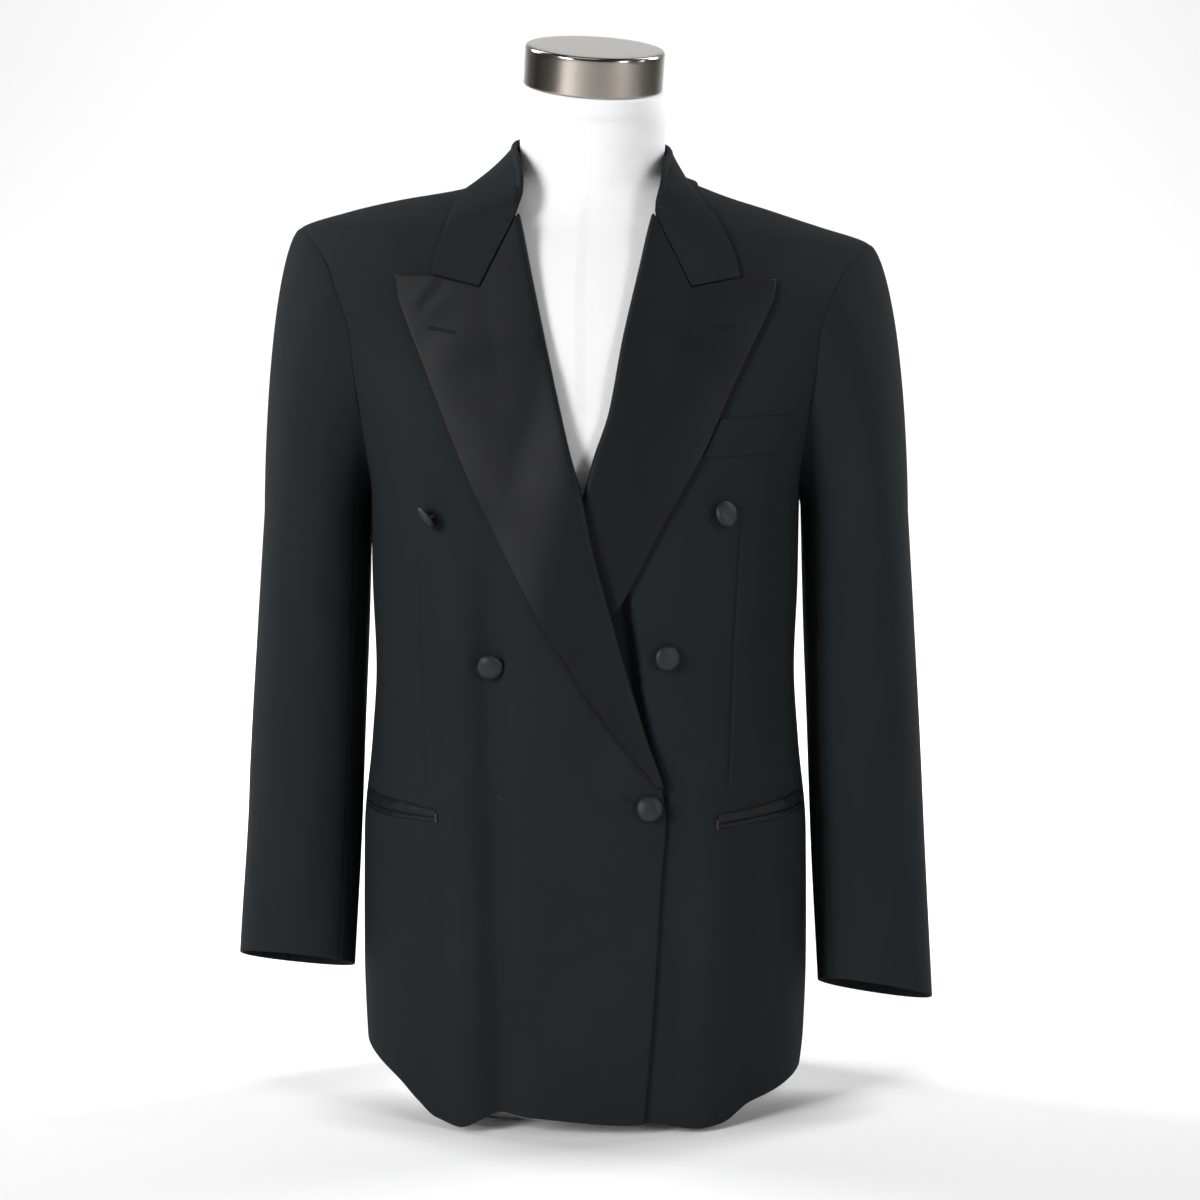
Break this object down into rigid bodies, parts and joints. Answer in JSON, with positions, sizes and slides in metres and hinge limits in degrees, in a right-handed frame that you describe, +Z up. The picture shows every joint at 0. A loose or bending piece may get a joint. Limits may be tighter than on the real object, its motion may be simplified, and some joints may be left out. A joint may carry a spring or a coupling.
{
  "type": "double-breasted tuxedo jacket on a limbless dress form",
  "caption": "Black double-breasted dinner jacket with satin peak lapels, worn by a white limbless dress form with a steel neck cap.",
  "frame": {"origin": "under the middle of the whole part, on the surface that the dress form stands on", "axes": "+Z up, -Y to the jacket's front, +X towards the wearer's left side"},
  "size_m": [0.612, 0.2902, 0.9356],
  "materials": {
    "wool": "fine matte worsted wool, black",
    "satin": "black satin with a soft sheen",
    "form": "white jersey stretched over a smooth form",
    "steel": "brushed"
  },
  "bodies": {
    "root": {"front_right": "wool", "side_right": "wool", "back_right": "wool", "top_sleeve_right": "wool", "under_sleeve_right": "wool", "lapel_right": "satin", "pocket_upper_jet_right": "satin", "pocket_lower_jet_right": "satin", "front_left": "wool", "side_left": "wool", "back_left": "wool", "top_sleeve_left": "wool", "under_sleeve_left": "wool", "lapel_left": "satin", "pocket_upper_jet_left": "satin", "pocket_lower_jet_left": "satin", "collar": "wool", "collar_stand": "wool", "chest_welt": "wool", "button_upper_right": "satin", "button_upper_left": "satin", "button_middle_right": "satin", "button_middle_left": "satin", "button_fastened": "satin", "dress_form": "form", "neck_cap": "steel"}
  },
  "joints": []
}
